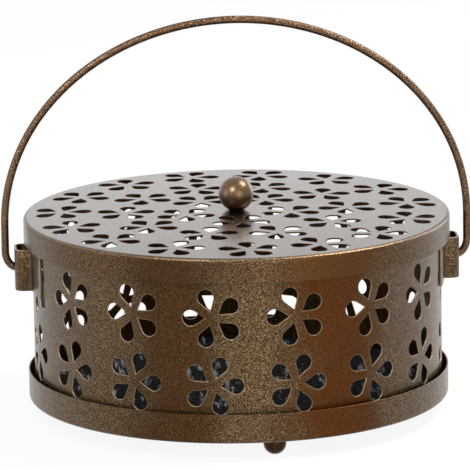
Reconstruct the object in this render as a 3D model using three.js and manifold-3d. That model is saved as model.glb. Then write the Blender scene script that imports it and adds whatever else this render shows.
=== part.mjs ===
// Mosquito coil holder: a round pressed-steel box pierced with five-petal flowers.
// It has a lift-off lid with a ball knob, three ball feet, and a wire bail that swings in two lugs.
// Millimetres, +Z up. The origin is on the ground under the middle of the box, and the bail's
// pivot axis runs along X. The wall's lap seam is on the right, a little behind the bail's lug.

import * as THREE from "three";
import { mergeGeometries, mergeVertices } from "three/addons/utils/BufferGeometryUtils.js";
import Module from "manifold-3d";

const wasm = await Module();
wasm.setup();

// Sheet-metal box
const lidRadius = 75;
const lidRimHeight = 8.8;
const lidCrown = 1;
const lidPlay = 2.5;
const lidSeatGap = 0.3;
const sheet = 0.5;
const pressRadius = 1.2;
const wallHeight = 63.5;
const trayPlay = 1.7;
const trayRimHeight = 10.3;

// Flowers pierced through the lid and the wall
const flowerReach = 10.45;
const petalTip = 2.5;
const petalWidth = 5.6;
const petalsPerFlower = 5;
const rowWeb = 2.7;
const rowDrop = 1.5;
const columnWeb = 8;
const seamBand = 19;
const lidEdgeBand = 3;
const ringWeb = 4.5;
const knobClearBand = 2;
const ringPitchShares = [2.142, 1.901];
const ringTurns = [5.5, -0.7, -17.6].map(THREE.MathUtils.degToRad);
const ringPetalTurns = [183, 188, 0].map(THREE.MathUtils.degToRad);

// Screws, and the clearance that seated pieces keep
const seatGap = 0.3;
const screwRadius = 1.25;
const screwHeadRadius = 2.4;
const screwHeadHeight = 1.2;
const screwSlotWidth = 0.7;
const screwSlotDepth = 0.6;
const boreSpare = 0.6;

// Ball knob with its washer
const knobRadius = 6.15;
const knobSeatRadius = 2.4;
const knobScrewGrip = 5;
const washerRadius = 3.5;
const washerThickness = 0.6;

// Ball feet, and the wall's tabs that their screws clamp
const footCount = 3;
const footTurn = THREE.MathUtils.degToRad(-83.35);
const footInset = 10.2;
const footHeight = 6.2;
const footRadius = 3.95;
const footFlatRadius = 1.5;
const footNeckRadius = 3.1;
const footScrewGrip = 3.4;
const tabWidth = 11;
const tabEnd = 6;
const seamWidth = 6;
const seamTurn = THREE.MathUtils.degToRad(9.9);

// Coil mat
const matPlay = 1.9;
const matThickness = 1.4;

// Lugs, each a strip bent into a loop with a flange on either side
const lugSheet = 0.8;
const lugHeight = 14.6;
const lugDrop = 1.4;
const lugReach = 6.4;
const lugLoopLength = 12;
const lugCornerRadius = 3;
const lugBendRadius = 1;
const lugFlangeLength = 12;

// Wire bail
const wireRadius = 1.35;
const bailSideGap = 1.9;
const bailSwingGap = 11.4;
const bailLegHeight = 15.05;
const elbowHeight = 5.8;
const pinLead = 0.2;
const pinClearance = 1.1;
const pinWallGap = 1.2;

// Facets
const roundSegments = 48;
const smallSegments = 12;
const ballSegments = 18;
const ballSteps = 7;
const pressSteps = 2;
const crownSteps = 4;
const bendSteps = 2;
const petalSteps = 4;
const wireSides = 8;
const archSteps = 36;
const elbowSteps = 6;
const overrun = 1;

// Places worked out from the sizes above
const wallRadius = lidRadius - sheet - lidPlay;
const wallInner = wallRadius - sheet;
const trayRadius = wallRadius + trayPlay + sheet;
const floorHeight = footHeight + sheet;
const wallTop = floorHeight + wallHeight;
const lidUnderside = wallTop + lidSeatGap;
const lidTop = lidUnderside + sheet;
const lidRimBottom = lidTop - lidRimHeight;
const trayRimTop = footHeight + trayRimHeight;
const footCircle = trayRadius - footInset;
const lugTop = lidRimBottom - lugDrop;
const pivotHeight = lugTop - lugHeight / 2;
const lugFace = wallRadius + lugReach;
const bailHalfWidth = lugFace + bailSideGap + wireRadius;
const bailReach = lidRadius + bailSwingGap;
const boreRadius = screwRadius + seatGap;
const knobSeatBand = washerRadius + knobClearBand;

const bronzePaint = { color: 0x6d5234, roughness: 0.42, metalness: 0.55 };
const knobPaint = { color: 0x74512c, roughness: 0.32, metalness: 0.6 };
const footPaint = { color: 0x2b211a, roughness: 0.45, metalness: 0.5 };
const zincSteel = { color: 0xa8a9a6, roughness: 0.35, metalness: 0.9 };
const glassFibre = { color: 0x43464a, roughness: 0.8, metalness: 0 };

// A closed geometry as a solid that can be joined and cut.
function solidFrom(geometry) {
  const bare = geometry.clone();
  bare.deleteAttribute("normal");
  bare.deleteAttribute("uv");
  const merged = mergeVertices(bare);
  return new wasm.Manifold(
    new wasm.Mesh({
      numProp: 3,
      vertProperties: new Float32Array(merged.attributes.position.array),
      triVerts: new Uint32Array(merged.index.array),
    }),
  );
}

// A joined or cut solid as a geometry.
function geometryFrom(solid) {
  const mesh = solid.getMesh();
  const geometry = new THREE.BufferGeometry();
  geometry.setAttribute("position", new THREE.BufferAttribute(mesh.vertProperties, 3));
  geometry.setIndex(new THREE.BufferAttribute(mesh.triVerts, 1));
  geometry.computeVertexNormals();
  return geometry;
}

// A body turned about +Z from [radius, height] points that run counter-clockwise in the half plane.
function turned(points, segments) {
  const profile = points.map(([radius, height]) => new THREE.Vector2(radius, height));
  return new THREE.LatheGeometry(profile, segments).rotateX(Math.PI / 2);
}

// A round rod along +Z that starts at the given height.
function rod(radius, start, length, segments = smallSegments) {
  return turned(
    [
      [0, start],
      [radius, start],
      [radius, start + length],
      [0, start + length],
    ],
    segments,
  );
}

// Points of a circular arc in the half plane, from one angle to another.
function arcPoints(centreRadius, centreHeight, radius, from, to, steps) {
  return Array.from({ length: steps + 1 }, (_, i) => {
    const angle = from + ((to - from) * i) / steps;
    return [centreRadius + radius * Math.cos(angle), centreHeight + radius * Math.sin(angle)];
  });
}

// A pressed disc with its rim turned up, open at the top. Its lower face runs through the given
// points, from the axis outwards, and ends in a rounded corner at height zero.
function pressedPan(radius, rimHeight, face) {
  const bend = pressRadius - sheet;
  const centre = radius - pressRadius;
  return turned(
    [
      ...face,
      ...arcPoints(centre, pressRadius, pressRadius, -Math.PI / 2, 0, pressSteps),
      [radius, rimHeight],
      [radius - sheet, rimHeight],
      ...arcPoints(centre, pressRadius, bend, 0, -Math.PI / 2, pressSteps),
      ...face.map(([across, height]) => [across, height + sheet]).reverse(),
    ],
    roundSegments,
  );
}

// One petal, a round end drawn to a point that faces the flower's centre.
function petalShape() {
  const radius = petalWidth / 2;
  const centre = flowerReach - radius;
  const open = Math.PI - Math.acos(radius / (centre - petalTip));
  const shape = new THREE.Shape();
  shape.moveTo(petalTip, 0);
  for (const [x, y] of arcPoints(centre, 0, radius, -open, open, petalSteps)) {
    shape.lineTo(x, y);
  }
  return shape;
}

// The cutters for one flower, pointing along +Z from the given height upwards.
function flowerCutter(start, length, turn) {
  const petal = new THREE.ExtrudeGeometry(petalShape(), { depth: length, bevelEnabled: false });
  return mergeGeometries(
    Array.from({ length: petalsPerFlower }, (_, i) =>
      petal
        .clone()
        .rotateZ(turn + (i * 2 * Math.PI) / petalsPerFlower)
        .translate(0, 0, start),
    ),
  );
}

// The lid's rings of flowers, from the rim inwards, as long as they stay clear of the knob.
function lidFlowers() {
  const cutters = [];
  const depth = sheet + lidCrown + 2 * overrun;
  const innermost = flowerReach + knobSeatBand;
  let radius = lidRadius - lidEdgeBand - flowerReach;
  for (let ring = 0; radius > innermost; ring += 1) {
    const kind = Math.min(ring, ringTurns.length - 1);
    const count = Math.round((2 * Math.PI * radius) / (2 * flowerReach + ringWeb));
    for (let i = 0; i < count; i += 1) {
      const azimuth = ringTurns[kind] + (i * 2 * Math.PI) / count;
      const cutter = flowerCutter(-sheet - overrun, depth, azimuth + ringPetalTurns[kind]);
      cutters.push(cutter.translate(radius * Math.cos(azimuth), radius * Math.sin(azimuth), 0));
    }
    radius -= flowerReach * ringPitchShares[Math.min(ring, ringPitchShares.length - 1)];
  }
  return mergeGeometries(cutters);
}

// The wall's rows of flowers, punched at one pitch in the flat strip. A plain band is left at the
// seam, and the middle column is opposite to it.
function wallFlowers() {
  const cutters = [];
  const depth = sheet + 2 * overrun;
  const rowPitch = 2 * flowerReach + rowWeb;
  const rows = Math.max(1, Math.floor((lidRimBottom - floorHeight) / rowPitch));
  const columnPitch = 2 * flowerReach + columnWeb;
  const columns = Math.round((2 * Math.PI * wallRadius - seamBand) / columnPitch);
  const middle = (trayRimTop + lidRimBottom) / 2 - rowDrop;
  for (let row = 0; row < rows; row += 1) {
    const height = middle + (row - (rows - 1) / 2) * rowPitch;
    for (let column = 0; column < columns; column += 1) {
      const along = (column - (columns - 1) / 2) * columnPitch;
      const cutter = flowerCutter(wallInner - overrun, depth, (row % 2) * Math.PI);
      cutter.rotateX(Math.PI / 2).rotateZ(Math.PI / 2);
      cutter.rotateZ(seamTurn + Math.PI + along / wallRadius);
      cutters.push(cutter.translate(0, 0, height));
    }
  }
  return mergeGeometries(cutters);
}

// Turns a geometry that stands on +X to each foot's place round the box.
function atFoot(geometry, foot) {
  return geometry.rotateZ(footTurn + (foot * 2 * Math.PI) / footCount);
}

// The screw holes round the foot circle, through whatever lies at the given height.
function footHoles(start, length) {
  const holes = Array.from({ length: footCount }, (_, foot) =>
    atFoot(rod(boreRadius, start, length).translate(footCircle, 0, 0), foot),
  );
  return solidFrom(mergeGeometries(holes));
}

function baseTray() {
  const pan = solidFrom(pressedPan(trayRadius, trayRimHeight, [[0, 0]]));
  return geometryFrom(pan.subtract(footHoles(-overrun, sheet + 2 * overrun)));
}

// The rolled wall with its lap seam inside, and the tabs folded in from its lower edge.
function sideWall() {
  const tube = turned(
    [
      [wallInner, floorHeight],
      [wallRadius, floorHeight],
      [wallRadius, wallTop],
      [wallInner, wallTop],
      [wallInner, floorHeight],
    ],
    roundSegments,
  );
  const half = seamWidth / 2 / wallInner;
  const lap = new THREE.Shape();
  lap.absarc(0, 0, wallInner + sheet / 2, seamTurn - half, seamTurn + half, false);
  lap.absarc(0, 0, wallInner - sheet, seamTurn + half, seamTurn - half, true);
  const seam = new THREE.ExtrudeGeometry(lap, {
    depth: wallHeight,
    bevelEnabled: false,
    curveSegments: bendSteps,
  }).translate(0, 0, floorHeight);
  let wall = solidFrom(tube).add(solidFrom(seam));
  const tabStart = footCircle - tabEnd;
  const tabLength = wallInner + sheet / 2 - tabStart;
  for (let foot = 0; foot < footCount; foot += 1) {
    const tab = new THREE.BoxGeometry(tabLength, tabWidth, sheet);
    tab.translate(tabStart + tabLength / 2, 0, floorHeight + sheet / 2);
    wall = wall.add(solidFrom(atFoot(tab, foot)));
  }
  wall = wall.subtract(footHoles(floorHeight - overrun, sheet + 2 * overrun));
  return geometryFrom(wall.subtract(solidFrom(wallFlowers())));
}

// A ball foot standing on its flat, with a neck that meets the tray and a blind screw hole.
function ballFoot() {
  const centre = Math.sqrt(footRadius ** 2 - footFlatRadius ** 2);
  const low = -Math.acos(footFlatRadius / footRadius);
  const high = Math.acos(footNeckRadius / footRadius);
  const ball = turned(
    [
      [0, 0],
      ...arcPoints(0, centre, footRadius, low, high, ballSteps),
      [footNeckRadius, footHeight],
      [0, footHeight],
    ],
    ballSegments,
  );
  const depth = footScrewGrip + boreSpare;
  const bore = rod(boreRadius, footHeight - depth, depth + overrun);
  return geometryFrom(solidFrom(ball).subtract(solidFrom(bore)));
}

// A slotted screw whose head stands on height zero, with its shank below.
function slottedScrew(shankLength) {
  const body = turned(
    [
      [0, -shankLength],
      [screwRadius, -shankLength],
      [screwRadius, 0],
      [screwHeadRadius, 0],
      [screwHeadRadius, screwHeadHeight / 2],
      [screwHeadRadius - screwHeadHeight / 2, screwHeadHeight],
      [0, screwHeadHeight],
    ],
    smallSegments,
  );
  const slotHeight = screwSlotDepth + overrun;
  const slot = new THREE.BoxGeometry(2 * (screwHeadRadius + overrun), screwSlotWidth, slotHeight);
  slot.translate(0, 0, screwHeadHeight - screwSlotDepth + slotHeight / 2);
  return geometryFrom(solidFrom(body).subtract(solidFrom(slot)));
}

// The lid's crowned face as it lies upside down, flat where the knob sits.
function crownedFace() {
  const edge = lidRadius - pressRadius;
  const slope = Array.from({ length: crownSteps }, (_, i) => {
    const share = i / crownSteps;
    return [knobSeatBand + (edge - knobSeatBand) * share, -lidCrown * (1 - share ** 2)];
  });
  return [[0, -lidCrown], ...slope];
}

// The pierced lid, turned over from the way it is pressed, with its corner on height zero.
function lidCap() {
  const pan = pressedPan(lidRadius, lidRimHeight, crownedFace()).rotateX(Math.PI);
  const hole = rod(boreRadius, -sheet - overrun, sheet + lidCrown + 2 * overrun);
  return geometryFrom(
    solidFrom(pan).subtract(solidFrom(lidFlowers())).subtract(solidFrom(hole)),
  );
}

// The ball knob, seated on height zero, with a blind hole for its screw.
function ballKnob() {
  const centre = Math.sqrt(knobRadius ** 2 - knobSeatRadius ** 2);
  const low = -Math.acos(knobSeatRadius / knobRadius);
  const ball = turned(
    [[0, 0], ...arcPoints(0, centre, knobRadius, low, Math.PI / 2, ballSteps)],
    ballSegments,
  );
  const bore = rod(boreRadius, -overrun, knobScrewGrip + boreSpare + overrun);
  return geometryFrom(solidFrom(ball).subtract(solidFrom(bore)));
}

function washer() {
  return turned(
    [
      [boreRadius, 0],
      [washerRadius, 0],
      [washerRadius, washerThickness],
      [boreRadius, washerThickness],
      [boreRadius, 0],
    ],
    smallSegments,
  );
}

// The lug's strip seen from above, as the line along the middle of the sheet. It stands on +X.
function lugLine() {
  const flange = wallRadius + seatGap + lugSheet / 2;
  const leg = (lugLoopLength - lugSheet) / 2;
  const bend = lugBendRadius + lugSheet / 2;
  const corner = lugCornerRadius - lugSheet / 2;
  const cornerX = lugFace - lugCornerRadius;
  const bendX = Math.sqrt((flange + bend) ** 2 - (leg + bend) ** 2);
  const root = Math.asin((leg + bend) / (flange + bend));
  const end = root + lugFlangeLength / flange;
  const line = new THREE.Path();
  line.absarc(0, 0, flange, -end, -root, false);
  line.absarc(bendX, -leg - bend, bend, Math.PI - root, Math.PI / 2, true);
  line.absarc(cornerX, -leg + corner, corner, -Math.PI / 2, 0, false);
  line.absarc(cornerX, leg - corner, corner, 0, Math.PI / 2, false);
  line.absarc(bendX, leg + bend, bend, -Math.PI / 2, -Math.PI + root, true);
  line.absarc(0, 0, flange, root, end, false);
  return line.getPoints(bendSteps);
}

// The closed outline of a strip of sheet whose middle follows a line.
function stripShape(line, thickness) {
  const left = [];
  const right = [];
  line.forEach((point, i) => {
    const before = line[Math.max(i - 1, 0)];
    const after = line[Math.min(i + 1, line.length - 1)];
    const along = after.clone().sub(before).normalize();
    const side = new THREE.Vector2(-along.y, along.x).multiplyScalar(thickness / 2);
    left.push(point.clone().add(side));
    right.unshift(point.clone().sub(side));
  });
  return new THREE.Shape([...left, ...right]);
}

// A lug on +X with the hole that the bail's pin turns in.
function lug() {
  const strip = new THREE.ExtrudeGeometry(stripShape(lugLine(), lugSheet), {
    depth: lugHeight,
    bevelEnabled: false,
  });
  const hole = rod(wireRadius + pinClearance, 0, lugSheet + 2 * overrun).rotateY(Math.PI / 2);
  hole.translate(lugFace - lugSheet - overrun, 0, lugHeight / 2);
  return geometryFrom(solidFrom(strip).subtract(solidFrom(hole)));
}

// The bail's centreline about its pivot: pin, elbow and leg on each side, and an elliptical arch.
class BailLine extends THREE.Curve {
  constructor() {
    super();
    const inset = pinLead + lugSheet + bailSideGap + wireRadius;
    const pinEnd = wallRadius + pinWallGap;
    const elbowAt = bailHalfWidth - inset;
    const rise = bailReach - bailLegHeight;
    const half = [[pinEnd, 0]];
    for (let i = 0; i <= elbowSteps; i += 1) {
      const angle = ((i / elbowSteps) * Math.PI) / 2;
      half.push([elbowAt + inset * Math.sin(angle), elbowHeight * (1 - Math.cos(angle))]);
    }
    for (let i = 0; i < archSteps / 2; i += 1) {
      const angle = (i * Math.PI) / archSteps;
      half.push([bailHalfWidth * Math.cos(angle), bailLegHeight + rise * Math.sin(angle)]);
    }
    const mirrored = half.map(([x, z]) => [-x, z]).reverse();
    this.points = [...half, [0, bailReach], ...mirrored].map(
      ([x, z]) => new THREE.Vector3(x, 0, z),
    );
  }

  getPoint(t, target = new THREE.Vector3()) {
    const place = t * (this.points.length - 1);
    const i = Math.min(Math.floor(place), this.points.length - 2);
    return target.lerpVectors(this.points[i], this.points[i + 1], place - i);
  }

  // Steps follow the listed points, which lie closer together round the elbows.
  getUtoTmapping(u) {
    return u;
  }
}

function bailWire() {
  const line = new BailLine();
  const section = new THREE.Shape();
  for (let i = 0; i < wireSides; i += 1) {
    const angle = ((i + 1 / 2) * 2 * Math.PI) / wireSides;
    const method = i === 0 ? "moveTo" : "lineTo";
    section[method](wireRadius * Math.cos(angle), wireRadius * Math.sin(angle));
  }
  return new THREE.ExtrudeGeometry(section, {
    steps: line.points.length - 1,
    extrudePath: line,
    bevelEnabled: false,
  });
}

// Adds one named piece to a group.
function piece(group, name, geometry, paint) {
  const mesh = new THREE.Mesh(geometry, new THREE.MeshStandardMaterial(paint));
  mesh.name = name;
  group.add(mesh);
  return mesh;
}

const holder = new THREE.Group();

const base = new THREE.Group();
piece(base, "base_tray", baseTray(), bronzePaint).position.z = footHeight;
piece(base, "side_wall", sideWall(), bronzePaint);
for (let foot = 0; foot < footCount; foot += 1) {
  const corner = new THREE.Group();
  corner.rotation.z = footTurn + (foot * 2 * Math.PI) / footCount;
  const screwLength = footScrewGrip + 2 * sheet;
  piece(corner, `foot_${foot + 1}`, ballFoot(), footPaint).position.x = footCircle;
  const screw = piece(corner, `foot_screw_${foot + 1}`, slottedScrew(screwLength), zincSteel);
  screw.position.set(footCircle, 0, floorHeight + sheet);
  base.add(corner);
}
for (const [name, turn] of Object.entries({ lug_right: 0, lug_left: Math.PI })) {
  const side = piece(base, name, lug(), bronzePaint);
  side.position.z = lugTop - lugHeight;
  side.rotation.z = turn;
}
holder.add(base);

const mat = rod(wallInner - matPlay, 0, matThickness, roundSegments);
const matHeight = floorHeight + sheet + screwHeadHeight + seatGap;
piece(holder, "coil_mat", mat, glassFibre).position.z = matHeight;

const lid = new THREE.Group();
piece(lid, "lid_cap", lidCap(), bronzePaint);
piece(lid, "lid_knob", ballKnob(), knobPaint).position.z = lidCrown;
const washerSeat = lidCrown - sheet - washerThickness;
piece(lid, "knob_washer", washer(), zincSteel).position.z = washerSeat;
const knobScrew = slottedScrew(washerThickness + sheet + knobScrewGrip).rotateX(Math.PI);
piece(lid, "knob_screw", knobScrew, zincSteel).position.z = washerSeat;
lid.position.z = lidTop;
holder.add(lid);

piece(holder, "bail_handle", bailWire(), bronzePaint).position.z = pivotHeight;

export default holder;
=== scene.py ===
"""Mosquito coil holder: a pierced, hammered-bronze box with a lift-off lid and a wire bail.

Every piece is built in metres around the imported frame: +Z up, the origin on the ground under the
middle of the box, the bail's pivots on the X axis and the camera's side towards -Y.
"""

import logging
import math
from dataclasses import dataclass, field
from enum import Enum

import bmesh
import bpy
from mathutils import Matrix, Vector


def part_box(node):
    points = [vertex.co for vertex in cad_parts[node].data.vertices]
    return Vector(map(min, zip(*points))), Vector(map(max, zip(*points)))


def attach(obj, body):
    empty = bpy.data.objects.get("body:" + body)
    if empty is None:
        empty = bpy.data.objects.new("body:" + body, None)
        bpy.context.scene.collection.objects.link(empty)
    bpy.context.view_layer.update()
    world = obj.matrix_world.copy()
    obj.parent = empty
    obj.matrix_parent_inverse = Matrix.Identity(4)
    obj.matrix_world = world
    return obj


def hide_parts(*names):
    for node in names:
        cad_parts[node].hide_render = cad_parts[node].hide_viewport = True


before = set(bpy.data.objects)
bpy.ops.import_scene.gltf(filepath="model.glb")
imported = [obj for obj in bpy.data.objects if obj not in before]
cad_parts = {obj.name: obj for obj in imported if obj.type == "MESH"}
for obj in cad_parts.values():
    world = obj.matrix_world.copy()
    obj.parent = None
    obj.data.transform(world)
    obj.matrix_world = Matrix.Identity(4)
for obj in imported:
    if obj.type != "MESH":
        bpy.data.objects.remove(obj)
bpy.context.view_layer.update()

BMesh = bmesh.types.BMesh
Material = bpy.types.Material
Object = bpy.types.Object
Pair = tuple[float, float]
Point = Pair
Triple = tuple[float, float, float]
Colour = Triple

MM = 0.001
SUPPORT = 0.4 * MM
MERGE = 0.001 * MM
NEAR = 0.01 * MM
PLATE_SHARP = 20.0
CORNER_TURN = math.radians(60)
FLAT_TURN = math.radians(1)
LEVEL = 0.98
CUT_MARK = "cut_edge"
# Mark of the lid's pressed edge: worn paint and a painted highlight.
WORN_HIGHLIGHT_MARK = "worn_highlight_edge"
FOOT_NAMES = ("foot_1", "foot_2", "foot_3")
ACROSS = Vector((1.0, 0.0, 0.0))
BACK = Vector((0.0, 1.0, 0.0))
UP = Vector((0.0, 0.0, 1.0))
BLACK: Colour = (0.0, 0.0, 0.0)
WHITE = (1.0, 1.0, 1.0, 1.0)
LOG = logging.getLogger("coil_holder")

# How gold and how rusty the paint is round the box: pairs of a share of the turn and a strength.
# The gold is a painted sheen, with painted shade where it is low; the rust is partly a patina and
# partly painted shade.
GOLD_SHEEN_BANDS: tuple[Point, ...] = (
    (0.0, 0.8), (0.06, 0.9), (0.14, 0.7), (0.17, 0.1), (0.208, 0.15), (0.228, 0.9),
    (0.265, 1.0), (0.3, 0.4), (0.332, 0.4), (0.36, 0.9), (0.44, 1.0), (0.5, 0.9),
    (0.58, 0.3), (0.66, 0.8), (0.74, 0.2), (0.83, 0.9), (0.92, 0.3), (1.0, 0.8),
)
RUST_AND_SHADE_BANDS: tuple[Point, ...] = (
    (0.0, 0.0), (0.15, 0.0), (0.175, 0.3), (0.205, 0.3), (0.225, 0.0), (0.275, 0.0),
    (0.3, 1.0), (0.332, 1.0), (0.36, 0.1), (0.41, 0.0), (0.5, 0.0), (0.57, 0.9),
    (0.64, 0.1), (0.74, 0.0), (0.8, 0.8), (0.88, 0.1), (1.0, 0.2),
)


class Body(Enum):
    """The rigid bodies that pieces ride on."""

    HOLDER = "holder"
    LID = "lid"
    BAIL = "bail"
    MAT = "mat"


class Slot(Enum):
    """The record's material slots."""

    BRONZE = "bronze_paint"
    KNOB = "knob_paint"
    FOOT = "foot_paint"
    ZINC = "zinc_steel"
    GLASS_FIBRE = "glass_fibre"


class Value:
    """A shader socket that does arithmetic by adding Math nodes."""

    def __init__(self, shader: "Shader", socket: bpy.types.NodeSocket) -> None:
        """Wraps a socket of a shader's tree."""
        self.shader = shader
        self.socket = socket

    def _math(self, operation: str, left: object, right: object) -> "Value":
        """Returns the result of a Math node on two values or numbers."""
        return self.shader.node("ShaderNodeMath", {"operation": operation}, {0: left, 1: right})

    def __add__(self, other: object) -> "Value":
        """Returns the sum."""
        return self._math("ADD", self, other)

    def __sub__(self, other: object) -> "Value":
        """Returns the difference."""
        return self._math("SUBTRACT", self, other)

    def __rsub__(self, other: object) -> "Value":
        """Returns the difference the other way round."""
        return self._math("SUBTRACT", other, self)

    def __mul__(self, other: object) -> "Value":
        """Returns the product."""
        return self._math("MULTIPLY", self, other)

    __radd__ = __add__
    __rmul__ = __mul__


class Shader:
    """One node tree, of a material or of the world, and the calls that fill it."""

    def __init__(self, tree: bpy.types.NodeTree) -> None:
        """Empties the tree."""
        self.tree = tree
        tree.nodes.clear()

    def node(
        self, kind: str, settings: dict | None = None, sockets: dict | None = None, out: object = 0
    ) -> Value:
        """Adds a node, sets it up and connects it.

        Args:
            kind: The node's type.
            settings: The node's own settings. The stops of a ramp are (position, grey) pairs.
            sockets: Input name or index to a number, colour or Value.
            out: The name or index of the output to return.

        Returns:
            The output, or None for a node without outputs.
        """
        made = self.tree.nodes.new(kind)
        for key, value in (settings or {}).items():
            if key == "stops":
                self._set_stops(made.color_ramp, value)
            else:
                setattr(made, key, value)
        for key, value in (sockets or {}).items():
            if isinstance(value, Value):
                self.tree.links.new(value.socket, made.inputs[key])
            else:
                made.inputs[key].default_value = value
        return Value(self, made.outputs[out]) if made.outputs else None

    @staticmethod
    def _set_stops(ramp: bpy.types.ColorRamp, stops: tuple[Point, ...]) -> None:
        """Gives a ramp its grey stops.

        Args:
            ramp: The ramp.
            stops: (position, grey) pairs in rising order.
        """
        while len(ramp.elements) < len(stops):
            ramp.elements.new(1.0)
        for element, (position, grey) in zip(ramp.elements, stops):
            element.position = position
            element.color = (grey, grey, grey, 1.0)

    def place(self) -> Value:
        """Returns the Object coordinates."""
        return self.node("ShaderNodeTexCoord", out="Object")

    def mark(self, name: str) -> Value:
        """Returns a mark that was left on the mesh's corners."""
        return self.node("ShaderNodeAttribute", {"attribute_name": name}, out="Fac")

    def noise(
        self, scale: float, detail: float = 2.0, rough: float = 0.5, stretch: float = 1.0
    ) -> Value:
        """Adds a noise on Object coordinates.

        Args:
            scale: Lumps per metre.
            detail: Octaves.
            rough: How much the finer octaves count.
            stretch: How many times longer than wide the lumps are, along Y.

        Returns:
            The noise, about 0.5 on the whole.
        """
        place = self.place()
        if stretch > 1:
            sockets = {0: place, 1: (1.0, 1 / stretch, 1.0)}
            place = self.node("ShaderNodeVectorMath", {"operation": "MULTIPLY"}, sockets)
        sockets = {"Vector": place, "Scale": scale, "Detail": detail, "Roughness": rough}
        return self.node("ShaderNodeTexNoise", None, sockets)

    def ease(self, value: Value, low: float, high: float) -> Value:
        """Stretches the part of a value between two limits to 0 to 1, softly.

        Args:
            value: The value.
            low: What becomes 0.
            high: What becomes 1.

        Returns:
            The eased value.
        """
        settings = {"interpolation_type": "SMOOTHSTEP"}
        sockets = {"Value": value, "From Min": low, "From Max": high}
        return self.node("ShaderNodeMapRange", settings, sockets)

    def blend(self, share: Value, first: object, second: object) -> Value:
        """Mixes two colours.

        Args:
            share: How much of the second shows.
            first: A colour or Value.
            second: A colour or Value.

        Returns:
            The mixed colour.
        """
        sockets = {0: share}
        for key, colour in ((6, first), (7, second)):
            sockets[key] = colour if isinstance(colour, Value) else (*colour, 1.0)
        return self.node("ShaderNodeMix", {"data_type": "RGBA"}, sockets, 2)

    def bump(self, height: Value, depth: float, strength: float = 1.0) -> Value:
        """Returns the normal that a height gives, where a height of 1 is so many metres deep."""
        sockets = {"Height": height, "Distance": depth, "Strength": strength}
        return self.node("ShaderNodeBump", None, sockets)

    def surface(self, sockets: dict) -> None:
        """Ends a material in a Principled BSDF with these inputs."""
        shaded = self.node("ShaderNodeBsdfPrincipled", None, sockets)
        self.node("ShaderNodeOutputMaterial", None, {"Surface": shaded})


def new_material(name: str) -> tuple[Material, Shader]:
    """Makes a material with nothing in it.

    Args:
        name: Its name.

    Returns:
        The material and its node tree.
    """
    made = bpy.data.materials.new(name)
    made.use_nodes = True
    return made, Shader(made.node_tree)


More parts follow.
